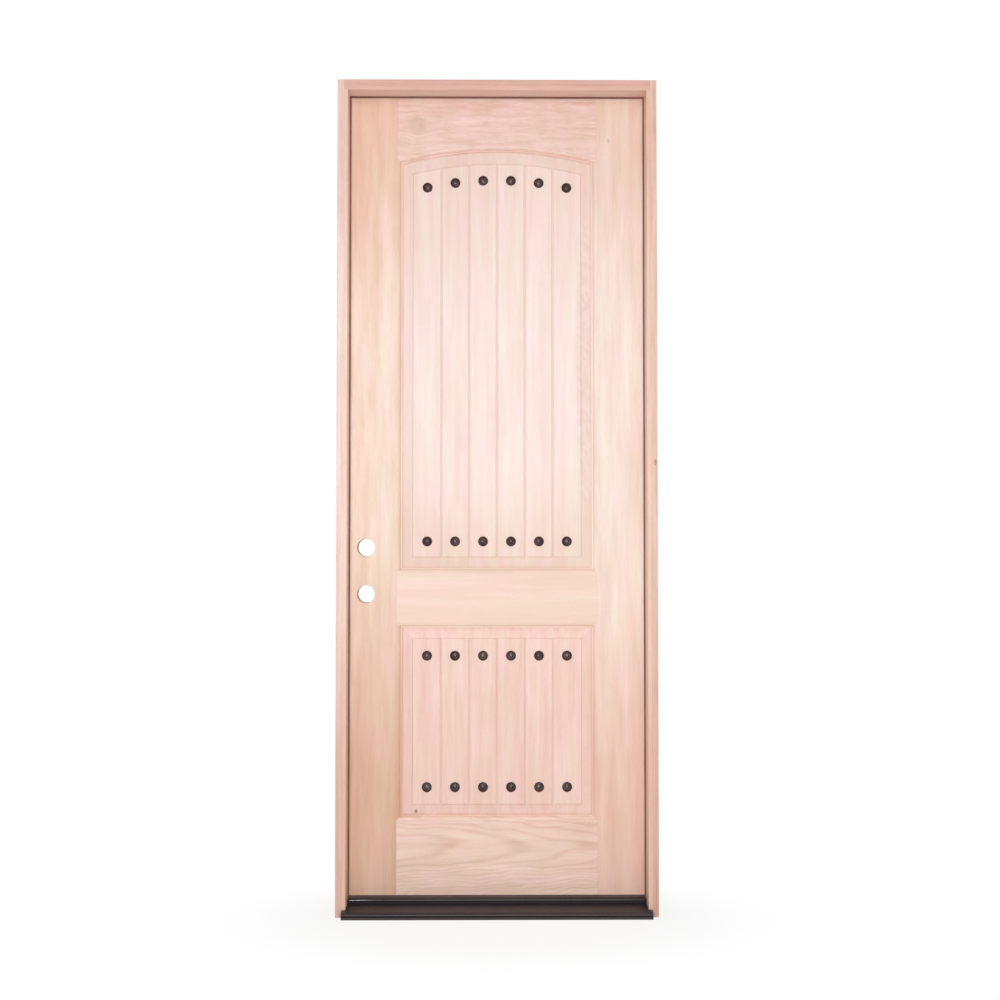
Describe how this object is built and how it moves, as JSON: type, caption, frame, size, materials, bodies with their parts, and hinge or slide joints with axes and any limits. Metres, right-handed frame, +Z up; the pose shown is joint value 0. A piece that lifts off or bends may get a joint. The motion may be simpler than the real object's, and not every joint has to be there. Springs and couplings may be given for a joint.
{
  "type": "exterior door in frame",
  "caption": "Mahogany entrance door hung in its frame: arched plank panels with iron nail heads, bored for a lock and a deadbolt, on butt hinges over a bronze sill.",
  "frame": {"origin": "under the middle of the sill's width, in the plane of the frame's outdoor edge", "axes": "+X across the doorway from the lock side to the hinge side, +Y from outdoors to indoors, +Z up"},
  "size_m": [0.9524, 0.156, 2.483],
  "materials": {
    "stile_mahogany": "clear-sealed mahogany, upright straight grain",
    "rail_mahogany": "clear-sealed mahogany, level figured grain",
    "panel_mahogany": "clear-sealed mahogany planks",
    "frame_mahogany": "clear-sealed mahogany",
    "dowel_beech": "plain beech",
    "weatherstrip": "matt brown foam strip",
    "sweep": "satin dark brown vinyl",
    "sill_bronze": "dark bronze anodised",
    "cap_bronze": "dark bronze composite, satin",
    "sill_core": "plain composite",
    "hinge_bronze": "oil-rubbed bronze",
    "steel": "plated steel",
    "nail_iron": "hammered dark iron"
  },
  "bodies": {
    "frame": {"strike_jamb": "frame_mahogany", "hinge_jamb": "frame_mahogany", "head_jamb": "frame_mahogany", "strike_stop": "frame_mahogany", "hinge_stop": "frame_mahogany", "head_stop": "frame_mahogany", "strike_weatherstrip": "weatherstrip", "hinge_weatherstrip": "weatherstrip", "head_weatherstrip": "weatherstrip", "sill_deck": "sill_bronze", "sill_substrate": "sill_core", "sill_cap": "cap_bronze", "head_screws": "steel", "sill_screws": "steel", "hinge_jamb_screws": "steel", "hinge_1_jamb_leaf": "hinge_bronze", "hinge_2_jamb_leaf": "hinge_bronze", "hinge_3_jamb_leaf": "hinge_bronze", "hinge_4_jamb_leaf": "hinge_bronze", "hinge_1_pin": "hinge_bronze", "hinge_2_pin": "hinge_bronze", "hinge_3_pin": "hinge_bronze", "hinge_4_pin": "hinge_bronze"},
    "door": {"lock_stile": "stile_mahogany", "hinge_stile": "stile_mahogany", "top_rail": "rail_mahogany", "lock_rail": "rail_mahogany", "bottom_rail": "rail_mahogany", "rail_dowels": "dowel_beech", "door_sweep": "sweep", "hinge_door_screws": "steel", "upper_plank_1": "panel_mahogany", "upper_plank_2": "panel_mahogany", "upper_plank_3": "panel_mahogany", "upper_plank_4": "panel_mahogany", "upper_plank_5": "panel_mahogany", "upper_plank_6": "panel_mahogany", "lower_plank_1": "panel_mahogany", "lower_plank_2": "panel_mahogany", "lower_plank_3": "panel_mahogany", "lower_plank_4": "panel_mahogany", "lower_plank_5": "panel_mahogany", "lower_plank_6": "panel_mahogany", "upper_panel_top_nails": "nail_iron", "upper_panel_bottom_nails": "nail_iron", "lower_panel_top_nails": "nail_iron", "lower_panel_bottom_nails": "nail_iron", "hinge_1_door_leaf": "hinge_bronze", "hinge_2_door_leaf": "hinge_bronze", "hinge_3_door_leaf": "hinge_bronze", "hinge_4_door_leaf": "hinge_bronze"}
  },
  "joints": [
    {"name": "door_swing", "type": "hinge", "parent": "frame", "child": "door", "pos_m": [0.45561, 0.12265, 1.2415], "axis": [0, 0, -1], "range_deg": [0, 170]}
  ]
}
